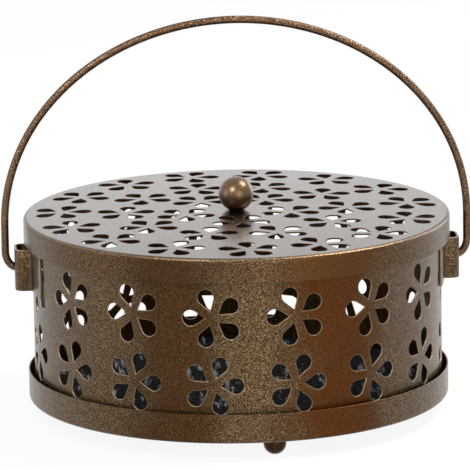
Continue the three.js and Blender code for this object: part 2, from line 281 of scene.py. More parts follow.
@dataclass(frozen=True)
class HammeredPaint:
    """Metallic paint that dries to a dense wrinkle: pale gold ridges over dark brown valleys.

    Its gold and rust change round the box by the share that drift gives, and less on a level top.
    The gold that changes round the box is a painted sheen, and where it is low the paint is darkened
    as painted shade; the rust is partly a patina and partly painted shade. A field that ends in cover
    says how much of a colour shows, and one that ends in flecks how much the ridges change that.
    """

    name: str
    valley: Colour
    ridge: Colour
    rust_shade_colour: Colour = BLACK
    # Colour of the cut faces: a pale tone that is partly thin paint at the cut and partly a painted
    # highlight; the lid sets it dark as painted shade.
    cut: Colour = (0.42, 0.32, 0.22)
    # Colour of the pressed edge: partly worn paint, partly a painted highlight along it.
    worn_highlight: Colour = (0.42, 0.32, 0.22)
    wrinkle: float = 0.34 * MM
    grain: float = 0.55
    ridge_limits: Pair = (0.47, 0.64)
    relief: float = 0.22 * MM
    wander: float = 22 * MM
    wander_turn: float = 0.06
    drift: float = 1.0
    top_calm: float = 0.7
    top_limits: Pair = (0.96, 1.0)
    mean_gold: float = 0.5
    ridge_cover: float = 0.45
    gold_sheen_cover: float = 0.42
    painted_shade_cover: float = 0.42
    rust_shade_cover: float = 0.88
    rust_shade_flecks: float = 0.3
    cut_painted_light_cover: float = 0.7
    worn_highlight_cover: float = 0.1
    worn_highlight_flecks: float = 0.6
    roughness: float = 0.27
    valley_roughness: float = 0.1
    coat: float = 0.35
    coat_change: float = 0.6
    rust_shade_dulls: float = 0.4
    polish: float = 0.0
    coat_roughness: float = 0.1

    def material(self) -> Material:
        """Makes the material.

        Returns:
            The material.
        """
        made, shader = new_material(self.name)
        skin = shader.noise(1 / self.wrinkle, rough=self.grain)
        ridges = shader.ease(skin, *self.ridge_limits)
        level = self.level(shader)
        gold_sheen, rust_and_shade = self.zones(shader, level)
        # Painted sheen: the ridges grow paler where the gold bands are high.
        share = ridges * (gold_sheen * self.gold_sheen_cover + self.ridge_cover)
        colour = shader.blend(share, self.valley, self.ridge)
        # Painted shade: darkens the paint towards black where the gold sheen is low.
        colour = shader.blend((1 - gold_sheen) * self.painted_shade_cover, colour, BLACK)
        coat = self.coat
        if self.drift > 0:
            # Rust tone: partly a patina, partly painted shade where no sheen falls.
            share = rust_and_shade * (self.rust_shade_cover - ridges * self.rust_shade_flecks)
            colour = shader.blend(share, colour, self.rust_shade_colour)
            weight = gold_sheen * self.coat_change + (1 - self.coat_change) - rust_and_shade * self.rust_shade_dulls
            coat = weight * self.coat + level * self.polish
        # Cut faces: partly the cut's own tone, partly a painted highlight on the wall and painted
        # shade on the lid.
        colour = shader.blend(shader.mark(CUT_MARK) * self.cut_painted_light_cover, colour, self.cut)
        # Pressed edge: partly worn paint, partly a painted highlight.
        share = shader.mark(WORN_HIGHLIGHT_MARK) * (ridges * self.worn_highlight_flecks + self.worn_highlight_cover)
        colour = shader.blend(share, colour, self.worn_highlight)
        shader.surface(
            {
                "Base Color": colour,
                "Metallic": 1.0,
                "Roughness": self.roughness + (1 - ridges) * self.valley_roughness,
                "Coat Weight": coat,
                "Coat Roughness": self.coat_roughness,
                "Normal": shader.bump(skin, self.relief),
            }
        )
        return made

    def zones(self, shader: Shader, level: object) -> tuple[object, object]:
        """Gives the shares of gold and of rust round the box: a painted sheen, and rust that is
        partly painted shade.

        Args:
            shader: The material's tree.
            level: 1 on a level top and 0 elsewhere.

        Returns:
            The shares, which are numbers where the paint is the same all round.
        """
        if self.drift == 0:
            return self.mean_gold, 0.0
        settings = {"gradient_type": "RADIAL"}
        around = shader.node("ShaderNodeTexGradient", settings, {"Vector": shader.place()})
        around = around + (shader.noise(1 / self.wander) - 0.5) * self.wander_turn
        drift = self.drift * (1 - level * self.top_calm)
        gold_sheen, rust_and_shade = [
            shader.node("ShaderNodeValToRGB", {"stops": stops}, {"Fac": around}) * drift
            for stops in (GOLD_SHEEN_BANDS, RUST_AND_SHADE_BANDS)
        ]
        return gold_sheen + self.mean_gold * (1 - drift), rust_and_shade

    def level(self, shader: Shader) -> object:
        """Finds the level top of a piece that is polished there.

        Args:
            shader: The material's tree.

        Returns:
            1 on the level top, and the number 0 where the piece isn't polished.
        """
        if self.polish == 0:
            return 0.0
        normal = shader.node("ShaderNodeNewGeometry", out="Normal")
        height = shader.node("ShaderNodeSeparateXYZ", None, {"Vector": normal}, "Z")
        return shader.ease(height, *self.top_limits)


@dataclass(frozen=True)
class ZincPlate:
    """Bright zinc on small screws, clouded a little where it was handled."""

    name: str = "zinc_plate"
    bright: Colour = (0.62, 0.62, 0.6)
    dull: Colour = (0.42, 0.41, 0.38)
    cloud: float = 1.2 * MM
    roughness: float = 0.2
    cloud_roughness: float = 0.3

    def material(self) -> Material:
        """Makes the material.

        Returns:
            The material.
        """
        made, shader = new_material(self.name)
        clouds = shader.noise(1 / self.cloud, detail=3.0)
        shader.surface(
            {
                "Base Color": shader.blend(clouds, self.bright, self.dull),
                "Metallic": 1.0,
                "Roughness": clouds * self.cloud_roughness + self.roughness,
            }
        )
        return made


@dataclass(frozen=True)
class GlassFibre:
    """Woven glass-fibre cloth: dark size on pale strands, with finer filaments along them; the pale
    streaks are partly the strands' colour and partly painted glints.
    """

    name: str = "glass_fibre"
    dark: Colour = (0.004, 0.004, 0.005)
    pale_glint: Colour = (0.5, 0.52, 0.56)
    band: float = 2.6 * MM
    band_stretch: float = 7.0
    band_limits: Pair = (0.52, 0.64)
    filament: float = 0.8 * MM
    filament_stretch: float = 12.0
    filament_limits: Pair = (0.4, 0.62)
    relief: float = 0.1 * MM
    relief_strength: float = 0.6
    roughness: float = 0.6
    filament_roughness: float = 0.2
    gloss: float = 0.15

    def material(self) -> Material:
        """Makes the material.

        Returns:
            The material.
        """
        made, shader = new_material(self.name)
        bands = shader.noise(1 / self.band, stretch=self.band_stretch)
        filaments = shader.noise(1 / self.filament, stretch=self.filament_stretch)
        streaks = shader.ease(filaments, *self.filament_limits)
        # Pale streaks: partly the strands' own colour, partly painted glints.
        pale_glint = shader.ease(bands, *self.band_limits) * streaks
        shader.surface(
            {
                "Base Color": shader.blend(pale_glint, self.dark, self.pale_glint),
                "Roughness": filaments * self.filament_roughness + self.roughness,
                "Specular IOR Level": self.gloss,
                "Normal": shader.bump(filaments, self.relief, self.relief_strength),
            }
        )
        return made


BRONZE = HammeredPaint(
    "hammered_bronze",
    valley=(0.04, 0.018, 0.003),
    ridge=(0.3, 0.195, 0.1),
    rust_shade_colour=(0.08, 0.022, 0.001),
)
LID_BRONZE = HammeredPaint(
    "lid_bronze",
    valley=(0.05, 0.024, 0.009),
    ridge=(0.27, 0.17, 0.085),
    rust_shade_colour=(0.1, 0.04, 0.01),
    # Painted shade: the walls of the lid's holes are painted dark.
    cut=(0.05, 0.014, 0.01),
    relief=0.12 * MM,
    drift=0.9,
    roughness=0.2,
    coat=0.2,
    polish=0.8,
    coat_roughness=0.17,
)
WIRE_BRONZE = HammeredPaint(
    "wire_bronze",
    valley=(0.055, 0.025, 0.01),
    ridge=(0.58, 0.36, 0.215),
    relief=0.2 * MM,
    drift=0.0,
    roughness=0.22,
    coat=0.2,
)
KNOB_BRONZE = HammeredPaint(
    "knob_bronze",
    valley=(0.12, 0.062, 0.024),
    ridge=(0.25, 0.15, 0.068),
    relief=0.05 * MM,
    drift=0.0,
    roughness=0.28,
    coat=0.7,
    coat_roughness=0.2,
)
FOOT_BRONZE = HammeredPaint(
    "foot_bronze",
    valley=(0.034, 0.014, 0.005),
    ridge=(0.11, 0.055, 0.022),
    relief=0.04 * MM,
    drift=0.0,
    coat=0.05,
)


def as_data(mesh: BMesh, name: str) -> bpy.types.Mesh:
    """Turns a bmesh into mesh data.

    Args:
        mesh: The bmesh, which is freed.
        name: The data's name.

    Returns:
        The data.
    """
    data = bpy.data.meshes.new(name)
    mesh.to_mesh(data)
    mesh.free()
    return data


def add_object(name: str, data: bpy.types.ID) -> Object:
    """Adds an object to the scene.

    Args:
        name: Its name.
        data: Its mesh, curve, lamp or camera.

    Returns:
        The object.
    """
    made = bpy.data.objects.new(name, data)
    bpy.context.scene.collection.objects.link(made)
    return made


@dataclass(kw_only=True)
class Piece:
    """A piece of the object, which takes the place of one CAD node.

    Its edges that turn more than sharp, in degrees, are drawn sharp.
    """

    node: str
    name: str
    body: Body = Body.HOLDER
    slot: Slot = Slot.BRONZE
    sharp: float = 32.0
    low: Vector = field(init=False)
    high: Vector = field(init=False)

    def __post_init__(self) -> None:
        """Takes the node's box from the frame."""
        self.low, self.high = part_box(self.node)

    def mesh(self) -> BMesh:
        """Returns the piece's mesh, in place in the frame."""
        raise NotImplementedError

    def finish(self, piece: Object) -> None:
        """Leaves the piece as it is, where its class has nothing to add."""

    def build(self, material: Material) -> Object:
        """Builds the piece.

        Args:
            material: Its material.

        Returns:
            The piece.
        """
        mesh = self.mesh()
        bmesh.ops.remove_doubles(mesh, verts=mesh.verts, dist=2 * MERGE)
        bmesh.ops.dissolve_degenerate(mesh, edges=mesh.edges, dist=MERGE)
        bmesh.ops.recalc_face_normals(mesh, faces=mesh.faces)
        data = as_data(mesh, self.name)
        data.shade_smooth()
        data.set_sharp_from_angle(angle=math.radians(self.sharp))
        data.materials.append(material)
        piece = add_object(self.name, data)
        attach(piece, self.body.value)
        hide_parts(self.node)
        LOG.info("%s: %d faces", self.name, len(data.polygons))
        self.finish(piece)
        return piece


def arc(centre: Point, radius: float, start: float, end: float, steps: int) -> list[Point]:
    """Returns the points of an arc in chords, from one angle in degrees to another."""
    angles = [math.radians(start + (end - start) * i / steps) for i in range(steps + 1)]
    return [(centre[0] + radius * math.cos(a), centre[1] + radius * math.sin(a)) for a in angles]


def rectangle(half: float, low: float, high: float) -> list[Point]:
    """Returns the corners of a rectangle that reaches as far to the left as to the right."""
    return [(-half, low), (half, low), (half, high), (-half, high)]


def lathe(profile: list[Point], steps: int) -> BMesh:
    """Turns a profile of (radius, height) points round Z.

    Args:
        profile: An outline that starts and ends on the axis, or a closed ring without its last point.
        steps: Steps round the axis.

    Returns:
        The closed turned mesh.
    """
    mesh = bmesh.new()
    verts = [mesh.verts.new((radius, 0, height)) for radius, height in profile]
    pairs = list(zip(verts, verts[1:]))
    if profile[0][0] > 0:
        pairs.append((verts[-1], verts[0]))
    edges = [mesh.edges.new(pair) for pair in pairs]
    bmesh.ops.spin(
        mesh,
        geom=verts + edges,
        cent=(0, 0, 0),
        axis=UP,
        angle=math.tau,
        steps=steps,
        use_merge=True,
    )
    bmesh.ops.remove_doubles(mesh, verts=mesh.verts, dist=MERGE)
    return mesh


def add_loop(mesh: BMesh, points: list[Point], mark: int) -> list[bmesh.types.BMEdge]:
    """Adds a closed outline at height zero.

    Args:
        mesh: The mesh to add to, which has a whole-number vertex layer.
        points: The outline's corners.
        mark: The number that its corners get in that layer.

    Returns:
        Its edges.
    """
    marks = mesh.verts.layers.int.active
    verts = [mesh.verts.new((x, y, 0)) for x, y in points]
    for vert in verts:
        vert[marks] = mark
    return [mesh.edges.new(pair) for pair in zip(verts, verts[1:] + verts[:1])]


def supported(profile: list[Point]) -> list[Point]:
    """Adds a point near each end of a profile's long stretches, so that they are shaded flat.

    Args:
        profile: The profile's points.

    Returns:
        The profile with the points added.
    """
    points = [profile[0]]
    for start, end in zip(profile, profile[1:]):
        length = math.dist(start, end)
        if length > 4 * SUPPORT:
            for share in (SUPPORT / length, 1 - SUPPORT / length):
                points.append(
                    (start[0] + (end[0] - start[0]) * share, start[1] + (end[1] - start[1]) * share)
                )
        points.append(end)
    return points


def ease_edges(mesh: BMesh, edges: list[bmesh.types.BMEdge], room: float) -> None:
    """Rounds some edges a little.

    Args:
        mesh: The mesh.
        edges: The edges.
        room: How far the rounding reaches from each.
    """
    bmesh.ops.bevel(
        mesh,
        geom=edges,
        offset=room,
        offset_type="OFFSET",
        affect="EDGES",
        segments=2,
        profile=0.5,
        material=-1,
        clamp_overlap=True,
    )


def add_block(mesh: BMesh, size: Triple, middle: Triple, place: Matrix) -> None:
    """Adds a plain block.

    Args:
        mesh: The mesh to add it to.
        size: Its size along X, Y and Z.
        middle: Its middle before it is placed.
        place: The turn and move that place it.
    """
    block = bmesh.ops.create_cube(mesh, size=1)["verts"]
    bmesh.ops.scale(mesh, verts=block, vec=size)
    bmesh.ops.translate(mesh, verts=block, vec=middle)
    bmesh.ops.transform(mesh, matrix=place, verts=block)


def pierced_plate(
    outline: list[Point], holes: list[list[Point]], thickness: float, chamfer: float
) -> BMesh:
    """Makes a flat plate with holes, whose pierced edges are eased.

    Args:
        outline: The plate's outline.
        holes: The outlines of its holes.
        thickness: Its thickness, below height zero.
        chamfer: How far the holes' edges are eased.

    Returns:
        The plate. Its outer edge is left square.
    """
    mesh = bmesh.new()
    marks = mesh.verts.layers.int.new("pierced")
    rim = add_loop(mesh, outline, 0)
    pierced = [edge for hole in holes for edge in add_loop(mesh, hole, 1)]
    bmesh.ops.triangle_fill(mesh, use_beauty=True, edges=rim + pierced, normal=UP)
    bmesh.ops.dissolve_limit(
        mesh, angle_limit=FLAT_TURN, verts=[], edges=mesh.edges, use_dissolve_boundaries=False
    )
    bmesh.ops.recalc_face_normals(mesh, faces=mesh.faces)
    if mesh.faces[:][0].normal.z < 0:
        bmesh.ops.reverse_faces(mesh, faces=mesh.faces)
    lower = bmesh.ops.extrude_face_region(mesh, geom=mesh.faces[:], use_keep_orig=True)["geom"]
    moved = [item for item in lower if isinstance(item, bmesh.types.BMVert)]
    bmesh.ops.translate(mesh, verts=moved, vec=(0, 0, -thickness))
    bmesh.ops.recalc_face_normals(mesh, faces=mesh.faces)
    eased = [
        edge
        for edge in mesh.edges
        if all(vert[marks] for vert in edge.verts)
        and len(edge.link_faces) == 2
        and abs(edge.verts[0].co.z - edge.verts[1].co.z) < thickness / 2
        and edge.calc_face_angle(0) > CORNER_TURN
    ]
    ease_edges(mesh, eased, chamfer)
    return mesh


def slice_across(mesh: BMesh, half: float, step: float, axis: Vector = ACROSS) -> None:
    """Cuts a mesh by planes square to an axis, so that it can be bent.

    Args:
        mesh: The mesh.
        half: How far from the middle it reaches.
        step: The most room between two cuts.
        axis: The axis.
    """
    count = math.ceil(2 * half / step)
    for i in range(1, count):
        geometry = mesh.verts[:] + mesh.edges[:] + mesh.faces[:]
        place = axis * half * (2 * i / count - 1)
        bmesh.ops.bisect_plane(mesh, geom=geometry, dist=MERGE, plane_co=place, plane_no=axis)


def mark_cut_edges(mesh: BMesh) -> None:
    """Marks the faces of a flat plate that aren't level, which are its cut and eased edges.

    Args:
        mesh: The plate, lying flat.
    """
    cut = mesh.loops.layers.float.new(CUT_MARK)
    for face in mesh.faces:
        share = 0.0 if abs(face.normal.z) > LEVEL else 1.0
        for corner in face.loops:
            corner[cut] = share


@dataclass(frozen=True)
class Flower:
    """The pierced flower: petals that are round outside and drawn to a point inside."""

    reach: float = 10.45 * MM
    tip: float = 2.5 * MM
    width: float = 5.6 * MM
    petals: int = 5
    steps: int = 14

    def outlines(self, centre: Point, turn: float) -> list[list[Point]]:
        """Gives the petals' outlines.

        Args:
            centre: The flower's middle.
            turn: The direction of the first petal, in degrees.

        Returns:
            One outline for each petal.
        """
        radius = self.width / 2
        middle = self.reach - radius
        opening = 180 - math.degrees(math.acos(radius / (middle - self.tip)))
        petal = [(self.tip, 0.0), *arc((middle, 0.0), radius, -opening, opening, self.steps)]
        outlines = []
        for i in range(self.petals):
            angle = math.radians(turn) + math.tau * i / self.petals
            cosine, sine = math.cos(angle), math.sin(angle)
            outlines.append(
                [
                    (centre[0] + x * cosine - y * sine, centre[1] + x * sine + y * cosine)
                    for x, y in petal
                ]
            )
        return outlines


@dataclass(kw_only=True)
class PiercedWall(Piece):
    """The rolled wall: flowers at one pitch, and a lap seam in the plain band that they leave."""

    node: str = "side_wall"
    name: str = "pierced_wall"
    sharp: float = PLATE_SHARP
    flower: Flower = Flower()
    sheet: float = 0.5 * MM
    columns: int = 15
    column_pitch: float = 28.9 * MM
    row_heights: tuple[float, ...] = (26.05 * MM, 49.65 * MM)
    row_turns: tuple[float, ...] = (0.0, 180.0)
    chamfer: float = 0.16 * MM
    bend_step: float = 1.2 * MM
    seam_turn: float = 9.9
    slit: float = 0.12 * MM
    lap_width: float = 6 * MM
    lap_sheets: float = 1.1
    tab_width: float = 11 * MM
    tab_reach: float = 14 * MM
    radius: float = field(init=False)
    pitch: float = field(init=False)
    plain: float = field(init=False)

    def __post_init__(self) -> None:
        """Takes the wall's place from the frame, and works out its angles."""
        super().__post_init__()
        self.radius = self.high.x
        self.pitch = self.column_pitch / self.radius
        self.plain = math.tau - self.columns * self.pitch

    def strip(self) -> BMesh:
        """Makes the first column after the seam, bent round the box.

        Returns:
            Its mesh, open at both ends.
        """
        half = self.column_pitch / 2
        corners = rectangle(half, self.low.z, self.high.z)
        holes = []
        for height, turn in zip(self.row_heights, self.row_turns):
            holes += self.flower.outlines((0.0, height), turn)
        mesh = pierced_plate(corners, holes, self.sheet, self.chamfer)
        mark_cut_edges(mesh)
        ends = [face for face in mesh.faces if abs(face.calc_center_median().x) > half - NEAR]
        bmesh.ops.delete(mesh, geom=ends, context="FACES")
        slice_across(mesh, half, self.bend_step)
        start = math.radians(self.seam_turn) + self.plain / 2
        for vert in mesh.verts:
            angle = start + (vert.co.x + half) / self.radius
            reach = self.radius + vert.co.z
            vert.co = (reach * math.cos(angle), reach * math.sin(angle), vert.co.y)
        return mesh

    def mesh(self) -> BMesh:
        """Makes the wall out of its columns, the plain band, the lap and the tabs.

        Returns:
            The mesh.
        """
        mesh = self.strip()
        bmesh.ops.spin(
            mesh,
            geom=mesh.verts[:] + mesh.edges[:] + mesh.faces[:],
            cent=(0, 0, 0),
            axis=UP,
            angle=self.pitch * (self.columns - 1),
            steps=self.columns - 1,
            use_duplicate=True,
        )
        bmesh.ops.remove_doubles(mesh, verts=mesh.verts, dist=3 * MERGE)
        self.add_plain_band(mesh)
        self.add_lap(mesh)
        self.add_tabs(mesh)
        return mesh

    def add_plain_band(self, mesh: BMesh) -> None:
        """Runs the sheet on to the seam from both sides, and closes its two ends.

        Args:
            mesh: The wall's mesh.
        """
        seam = math.radians(self.seam_turn)
        across = Vector((-math.sin(seam), math.cos(seam), 0.0))
        turn = self.plain / 2 - self.slit / self.radius
        steps = math.ceil(turn * self.radius / self.bend_step)
        ends = [edge for edge in mesh.edges if edge.is_boundary]
        for side in (-1, 1):
            edges = [edge for edge in ends if edge.verts[0].co.dot(across) * side > 0]
            verts = list(dict.fromkeys(vert for edge in edges for vert in edge.verts))
            bmesh.ops.spin(
                mesh, geom=verts + edges, cent=(0, 0, 0), axis=UP, angle=-side * turn, steps=steps
            )
        bmesh.ops.holes_fill(mesh, edges=[edge for edge in mesh.edges if edge.is_boundary])

    def add_lap(self, mesh: BMesh) -> None:
        """Adds the strip inside the seam.

        Args:
            mesh: The wall's mesh.
        """
        low, high = self.low.z, self.high.z
        size = (self.sheet * self.lap_sheets, self.lap_width, high - low - self.sheet)
        middle = (self.radius - 1.5 * self.sheet, 0.0, (high + low) / 2)
        turn = Matrix.Rotation(math.radians(self.seam_turn), 4, "Z")
        add_block(mesh, size, middle, turn)

    def add_tabs(self, mesh: BMesh) -> None:
        """Adds the tabs that the foot screws clamp.

        Args:
            mesh: The wall's mesh.
        """
        size = (self.tab_reach, self.tab_width, self.sheet)
        reach = self.radius - self.sheet - self.tab_reach / 2
        middle = (reach, 0.0, self.low.z + self.sheet / 2)
        for foot in FOOT_NAMES:
            low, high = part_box(foot)
            centre = (low + high) / 2
            turn = Matrix.Rotation(math.atan2(centre.y, centre.x), 4, "Z")
            add_block(mesh, size, middle, turn)


@dataclass(kw_only=True)
class PressedPan(Piece):
    """A round pan pressed from sheet, with a rounded corner and an eased edge."""

    sheet: float = 0.5 * MM
    press_radius: float = 1.3 * MM
    press_steps: int = 6
    edge_ease: float = 0.13 * MM
    round_steps: int = 256

    def pan(self, start: float, base: float, edge: float) -> BMesh:
        """Turns the pan, or what lies outside a radius of it.

        Args:
            start: The radius where it starts.
            base: The height of its flat's outer face.
            edge: The height of its rim's edge.

        Returns:
            Its mesh.
        """
        radius, sheet, ease = self.high.x, self.sheet, self.edge_ease
        depth = abs(edge - base)
        centre = (radius - self.press_radius, self.press_radius)
        outer, inner = [
            arc(centre, reach, -90, 0, self.press_steps)
            for reach in (self.press_radius, self.press_radius - sheet)
        ]
        profile = [
            (start, 0.0),
            *outer,
            (radius, depth - ease),
            (radius - ease, depth),
            (radius - sheet + ease, depth),
            (radius - sheet, depth - ease),
            *reversed(inner),
            (start, sheet),
        ]
        way = math.copysign(1.0, edge - base)
        return lathe(supported([(x, base + way * rise) for x, rise in profile]), self.round_steps)


@dataclass(kw_only=True)
class BaseTray(PressedPan):
    """The pressed tray that the wall stands in."""

    node: str = "base_tray"
    name: str = "pressed_tray"

    def mesh(self) -> BMesh:
        """Returns the tray's mesh."""
        return self.pan(0.0, self.low.z, self.high.z)


@dataclass(kw_only=True)
class PiercedLid(PressedPan):
    """The pressed lid with its three rings of flowers."""

    node: str = "lid_cap"
    name: str = "pierced_lid"
    body: Body = Body.LID
    sharp: float = PLATE_SHARP
    flower: Flower = Flower()
    ring_radii: tuple[float, ...] = (61.55 * MM, 39.17 * MM, 19.3 * MM)
    ring_counts: tuple[int, ...] = (15, 10, 5)
    ring_turns: tuple[float, ...] = (5.5, -0.7, -17.6)
    petal_turns: tuple[float, ...] = (183.0, 188.0, 0.0)
    crown: float = 1 * MM
    crown_step: float = 8 * MM
    knob_seat: float = 5.5 * MM
    worn_highlight_share: float = 0.6
    chamfer: float = 0.16 * MM
    edge_ease: float = 0.12 * MM
    flat_band: float = 0.5 * MM
    radius: float = field(init=False)
    flat_radius: float = field(init=False)
    top: float = field(init=False)

    def __post_init__(self) -> None:
        """Takes the lid's place from the frame."""
        super().__post_init__()
        self.radius = self.high.x
        self.flat_radius = self.radius - self.press_radius - self.flat_band
        self.top = self.high.z - self.crown

    def holes(self) -> list[list[Point]]:
        """Places the flowers' petals in the lid.

        Returns:
            The outline of each petal.
        """
        outlines = []
        rings = zip(self.ring_radii, self.ring_counts, self.ring_turns, self.petal_turns)
        for radius, count, turn, petal_turn in rings:
            for i in range(count):
                azimuth = turn + 360 * i / count
                angle = math.radians(azimuth)
                centre = (radius * math.cos(angle), radius * math.sin(angle))
                outlines += self.flower.outlines(centre, azimuth + petal_turn)
        return outlines

    def wear_and_highlight_edge(self, mesh: BMesh) -> None:
        """Marks the pressed edge, where the paint is worn thin and a pale painted highlight runs
        along it.

        Args:
            mesh: The lid's mesh.
        """
        worn_highlight = mesh.loops.layers.float.new(WORN_HIGHLIGHT_MARK)
        reach = self.press_radius * self.worn_highlight_share
        for face in mesh.faces:
            middle = face.calc_center_median()
            outside = math.hypot(middle.x, middle.y) > self.radius - reach
            if outside and middle.z > self.top - reach:
                for corner in face.loops:
                    corner[worn_highlight] = 1.0

    def mesh(self) -> BMesh:
        """Makes the lid out of its pierced flat and its rim, and crowns it.

        Returns:
            The mesh.
        """
        edge = arc((0.0, 0.0), self.flat_radius, 0, 360, self.round_steps)[:-1]
        mesh = pierced_plate(edge, self.holes(), self.sheet, self.chamfer)
        mark_cut_edges(mesh)
        for axis in (ACROSS, BACK):
            slice_across(mesh, self.flat_radius, self.crown_step, axis)
        bmesh.ops.translate(mesh, verts=mesh.verts, vec=(0, 0, self.top))
        rim = self.pan(self.flat_radius, self.top, self.low.z)
        for part in (mesh, rim):
            seam = [
                face
                for face in part.faces
                if all(
                    abs(math.hypot(vert.co.x, vert.co.y) - self.flat_radius) < 2 * NEAR
                    for vert in face.verts
                )
            ]
            bmesh.ops.delete(part, geom=seam, context="FACES")
        joined = as_data(rim, "lid_rim")
        mesh.from_mesh(joined)
        bpy.data.meshes.remove(joined)
        self.wear_and_highlight_edge(mesh)
        slope = self.radius - self.press_radius - self.knob_seat
        for vert in mesh.verts:
            share = (math.hypot(vert.co.x, vert.co.y) - self.knob_seat) / slope
            if share < 1:
                vert.co.z += self.crown * (1 - max(share, 0.0) ** 2)
        return mesh


@dataclass(kw_only=True)
class Lug(Piece):
    """A strip bent into a loop, flanged on both sides and spot-welded to the wall."""

    side: int
    wall_radius: float
    sheet: float = 0.8 * MM
    gap: float = 0.12 * MM
    loop_length: float = 12 * MM
    corner_radius: float = 3 * MM
    bend_radius: float = 1 * MM
    flange_length: float = 12 * MM
    hole_radius: float = 2.45 * MM
    hole_steps: int = 32
    ease: float = 0.16 * MM
    bend_step: float = 0.3 * MM

    def stretches(self, face: float) -> list[Pair]:
        """Lists the strip's stretches from the middle of its face to one end.

        Args:
            face: The distance of the loop's outer face from the box's axis.

        Returns:
            (length, curvature) pairs; a positive curvature turns left.
        """
        corner = self.corner_radius - self.sheet / 2
        bend = self.bend_radius + self.sheet / 2
        leg = (self.loop_length - self.sheet) / 2
        flange = self.wall_radius + self.gap + self.sheet / 2
        bend_x = math.sqrt((flange + bend) ** 2 - (leg + bend) ** 2)
        root = math.asin((leg + bend) / (flange + bend))
        return [
            (leg - corner, 0.0),
            (corner * math.pi / 2, 1 / corner),
            (face - self.corner_radius - bend_x, 0.0),
            (bend * (math.pi / 2 - root), -1 / bend),
            (self.flange_length, 1 / flange),
        ]

    @staticmethod
    def walk(start: float, stretches: list[Pair], length: float) -> tuple:
        """Follows the strip for a length.

        Args:
            start: The X of the strip's middle.
            stretches: Its (length, curvature) pairs.
            length: How far to go.

        Returns:
            The place and the direction there.
        """
        x, y, heading = start, 0.0, math.pi / 2
        for stretch, curvature in stretches:
            step = min(length, stretch)
            turn = step * curvature
            chord = step if turn == 0 else step * math.sin(turn / 2) / (turn / 2)
            x += chord * math.cos(heading + turn / 2)
            y += chord * math.sin(heading + turn / 2)
            heading += turn
            length -= step
        return x, y, heading

    def mesh(self) -> BMesh:
        """Makes the lug as a flat strip, and bends it.

        Returns:
            The mesh.
        """
        low, high = self.low, self.high
        face = max(abs(low.x), abs(high.x))
        stretches = self.stretches(face)
        half = sum(length for length, _ in stretches)
        centre = (0.0, (low.z + high.z) / 2)
        hole = arc(centre, self.hole_radius, 0, 360, self.hole_steps)[:-1]
        corners = rectangle(half, low.z, high.z)
        mesh = pierced_plate(corners, [hole], self.sheet, self.ease)
        self.ease_outline(mesh, half)
        mark_cut_edges(mesh)
        slice_across(mesh, half, self.bend_step)
        for vert in mesh.verts:
            along, height, depth = vert.co
            x, y, heading = self.walk(face - self.sheet / 2, stretches, abs(along))
            offset = depth + self.sheet / 2
            x += offset * math.sin(heading)
            y -= offset * math.cos(heading)
            y = math.copysign(y, along) if along else 0.0
            vert.co = (x * self.side, y * self.side, height)
        return mesh

    def ease_outline(self, mesh: BMesh, half: float) -> None:
        """Eases the edges of the flat strip's outline.

        Args:
            mesh: The flat strip.
            half: Half its length.
        """
        heights = [vert.co.y for vert in mesh.verts]
        low, high = min(heights), max(heights)
        outline = [
            edge
            for edge in mesh.edges
            if edge.calc_face_angle(0) > CORNER_TURN
            and all(
                abs(abs(vert.co.x) - half) < NEAR or vert.co.y in (low, high)
                for vert in edge.verts
            )
        ]
        ease_edges(mesh, outline, self.ease)


@dataclass(kw_only=True)
class WireBail(Piece):
    """The bent wire: a pin and an elbow at each end, and an elliptical arch between them."""

    node: str = "bail_handle"
    name: str = "wire_bail"
    body: Body = Body.BAIL
    sharp: float = 50.0
    wall_radius: float
    wire_radius: float = 1.35 * MM
    pin_gap: float = 1.2 * MM
    elbow_width: float = 4.25 * MM
    elbow_height: float = 5.8 * MM
    leg_height: float = 15.05 * MM
    elbow_steps: int = 16
    arch_steps: int = 160
    sides: int = 10

    def half_line(self, half_width: float, reach: float) -> list[Point]:
        """Gives the wire's centreline about its pivot, from one pin's end to the top.

        Args:
            half_width: Half the bail's width at its centreline.
            reach: The height of the arch's centreline above the pivot.

        Returns:
            (x, z) points.
        """
        start = half_width - self.elbow_width
        points = [(self.wall_radius + self.pin_gap, 0.0)]
        for i in range(self.elbow_steps + 1):
            angle = math.pi / 2 * i / self.elbow_steps
            x = start + self.elbow_width * math.sin(angle)
            points.append((x, self.elbow_height * (1 - math.cos(angle))))
        for i in range(self.arch_steps // 2 + 1):
            angle = math.pi * i / self.arch_steps
            rise = (reach - self.leg_height) * math.sin(angle)
            points.append((half_width * math.cos(angle), self.leg_height + rise))
        return points

    def mesh(self) -> BMesh:
        """Makes the wire as a round curve, and takes its mesh.

        Returns:
            The mesh.
        """
        pivot = self.low.z + self.wire_radius
        high = self.high
        half = self.half_line(high.x - self.wire_radius, high.z - self.wire_radius - pivot)
        line = half + [(-x, z) for x, z in reversed(half[:-1])]
        curve = bpy.data.curves.new("bail_line", "CURVE")
        curve.dimensions = "3D"
        curve.bevel_depth = self.wire_radius
        curve.bevel_resolution = self.sides
        curve.use_fill_caps = True
        spline = curve.splines.new("POLY")
        spline.points.add(len(line) - 1)
        for point, (x, z) in zip(spline.points, line):
            point.co = (x, 0, z + pivot, 1)
        wire = add_object("bail_line", curve)
        mesh = bmesh.new()
        mesh.from_mesh(wire.to_mesh())
        bpy.data.objects.remove(wire)
        bpy.data.curves.remove(curve)
        return mesh


